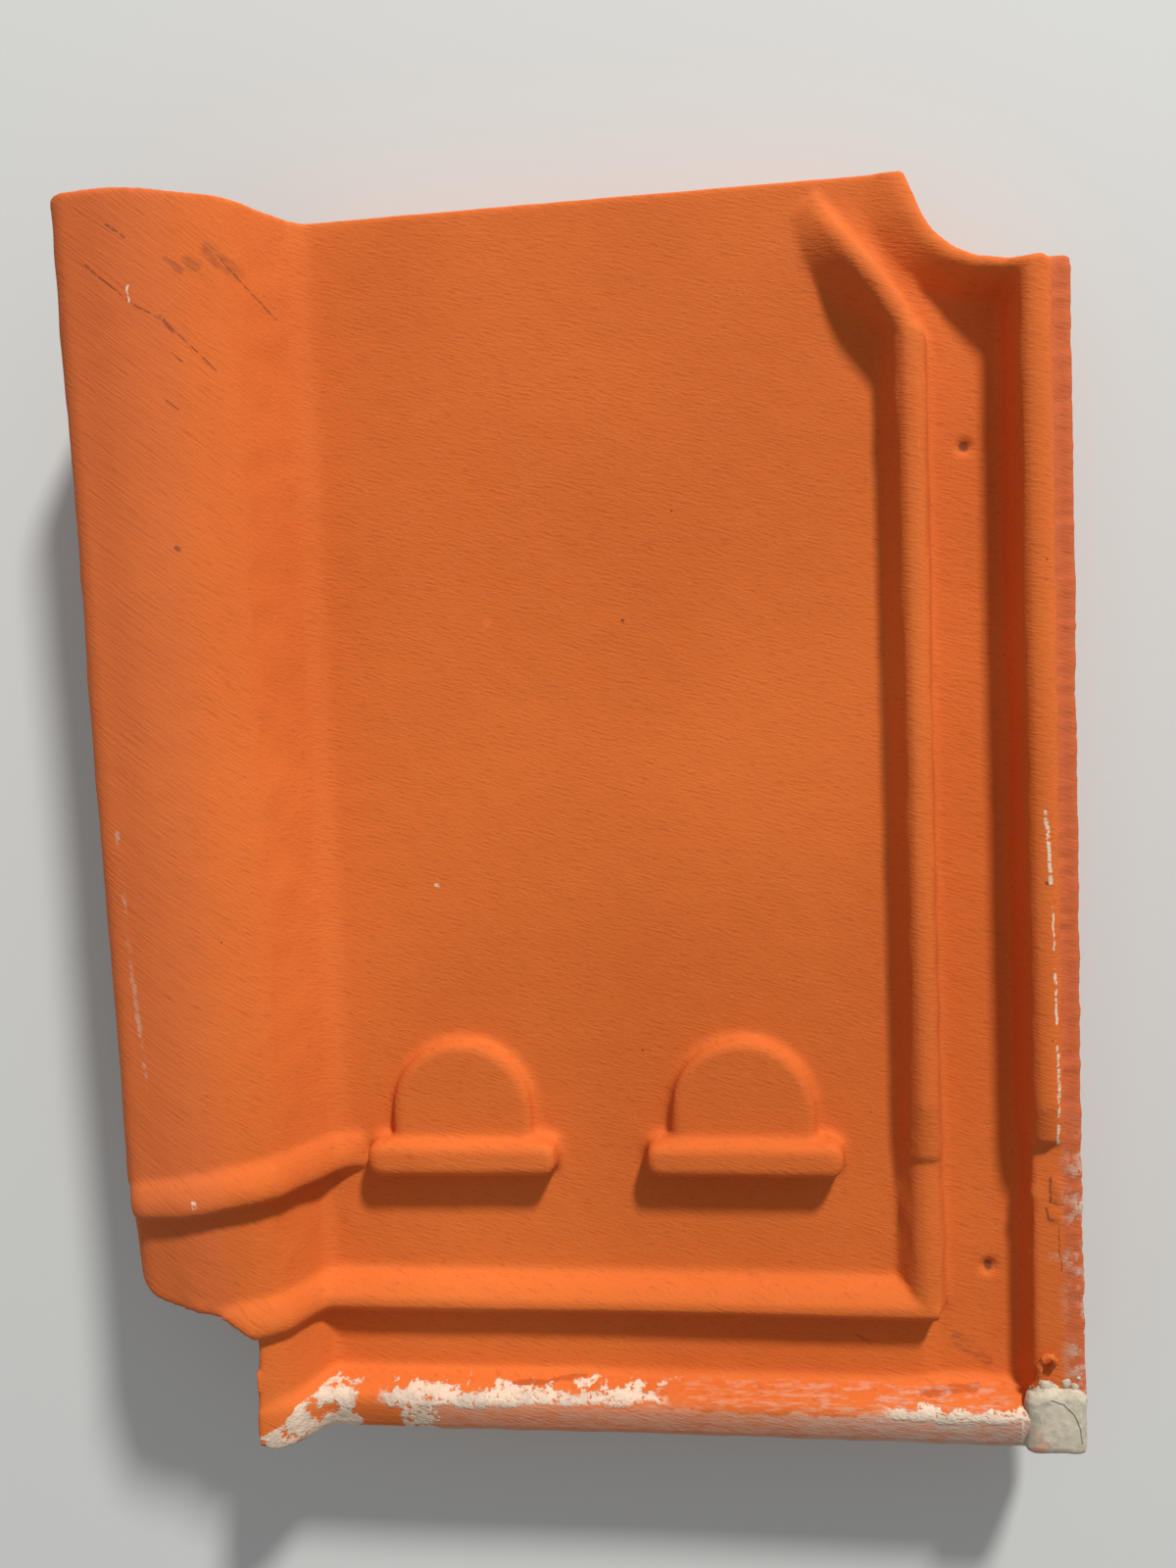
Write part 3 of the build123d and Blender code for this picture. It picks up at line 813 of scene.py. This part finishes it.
burrShape = {
    # a hook of squeezed clay by the head corner of the channel, from its root to its tip
    "route": (
        (114.4, -149.8, 31.2),
        (115.4, -145.6, 32.4),
        (115.8, -141.4, 33.6),
        (117.6, -139.0, 34.2),
        (119.8, -140.6, 33.8),
        (118.8, -143.6, 32.0),
    ),
    "width": 1.7,
    "roundness": 3,
    "cells": 0.4,
    "unevenness": 0.5,
    "lumpScale": 420,
    "gritScale": 1100,
    "gritShare": 0.5,
}


def makeBurr():
    curve = bpy.data.curves.new("burrRoute", "CURVE")
    curve.dimensions = "3D"
    spline = curve.splines.new("NURBS")
    spline.points.add(len(burrShape["route"]) - 1)
    for point, place in zip(spline.points, burrShape["route"]):
        point.co = (*metres(place), 1.0)
    spline.order_u = 3
    spline.use_endpoint_u = True
    curve.bevel_depth = burrShape["width"] / 2000
    curve.bevel_resolution = burrShape["roundness"]
    curve.use_fill_caps = True
    route = bpy.data.objects.new("burrRoute", curve)
    bpy.context.scene.collection.objects.link(route)
    graph = bpy.context.evaluated_depsgraph_get()
    mesh = bpy.data.meshes.new_from_object(route.evaluated_get(graph))
    mesh.name = "clayBurr"
    bpy.data.objects.remove(route)
    burr = newPiece("clayBurr", mesh, firedClay)
    addRemesh(burr, burrShape["cells"])
    bakeModifiers(burr)
    for vertex in burr.data.vertices:
        grit = noise.noise(vertex.co * burrShape["gritScale"])
        wander = noise.noise(vertex.co * burrShape["lumpScale"]) + burrShape["gritShare"] * grit
        vertex.co += vertex.normal * wander * (burrShape["unevenness"] / 1000)
    finishMesh(burr.data, firedClay)
    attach(burr, "root")


makeBurr()
print("burr placed")

stageLook = {
    "floor": (0.66, 0.66, 0.63, 1.0),
    "floorSize": 8.0,
    "floorRoughness": 0.9,
    "keyTowards": (0.34, 0.81, 0.5),
    "keyDistance": 3.0,
    "keySize": 0.36,
    "keyPower": 104.0,
    "sky": (0.95, 0.975, 1.0, 1.0),
    "skyStrength": 0.34,
}


def makeStage():
    ground = bmesh.new()
    bmesh.ops.create_grid(ground, x_segments=1, y_segments=1, size=stageLook["floorSize"] / 2)
    mesh = bpy.data.meshes.new("floor")
    ground.to_mesh(mesh)
    ground.free()
    material = bpy.data.materials.new("paleFloor")
    material.use_nodes = True
    shader = material.node_tree.nodes["Principled BSDF"]
    shader.inputs["Base Color"].default_value = stageLook["floor"]
    shader.inputs["Roughness"].default_value = stageLook["floorRoughness"]
    newPiece("floor", mesh, material)
    lamp = bpy.data.lights.new("key", "AREA")
    lamp.shape = "DISK"
    lamp.size = stageLook["keySize"]
    lamp.energy = stageLook["keyPower"]
    key = bpy.data.objects.new("key", lamp)
    bpy.context.scene.collection.objects.link(key)
    direction = Vector(stageLook["keyTowards"]).normalized()
    key.location = direction * stageLook["keyDistance"]
    key.rotation_euler = direction.to_track_quat("Z", "Y").to_euler()
    world = bpy.data.worlds.new("sky")
    world.use_nodes = True
    background = world.node_tree.nodes["Background"]
    background.inputs["Color"].default_value = stageLook["sky"]
    background.inputs["Strength"].default_value = stageLook["skyStrength"]
    bpy.context.scene.world = world


makeStage()

cameraSetup = {
    "place": (37.65, 28.25, 340.5),
    "right": (0.99337, -0.03591, -0.10921),
    "up": (0.02997, 0.99801, -0.05549),
    "back": (0.11099, 0.05185, 0.99247),
    "lens": 27.0,
    "sensorHeight": 36.0,
    "clipStart": 0.01,
}


def makeCamera():
    data = bpy.data.cameras.new("camera")
    data.sensor_fit = "VERTICAL"
    data.sensor_height = cameraSetup["sensorHeight"]
    data.lens = cameraSetup["lens"]
    data.clip_start = cameraSetup["clipStart"]
    camera = bpy.data.objects.new("camera", data)
    bpy.context.scene.collection.objects.link(camera)
    turned = Matrix.Identity(4)
    for column, key in enumerate(("right", "up", "back")):
        for row in range(3):
            turned[row][column] = cameraSetup[key][row]
    turned.translation = metres(cameraSetup["place"])
    camera.matrix_world = turned
    bpy.context.scene.camera = camera


makeCamera()
bpy.context.scene.view_settings.view_transform = "Standard"
print("stage and camera ready")
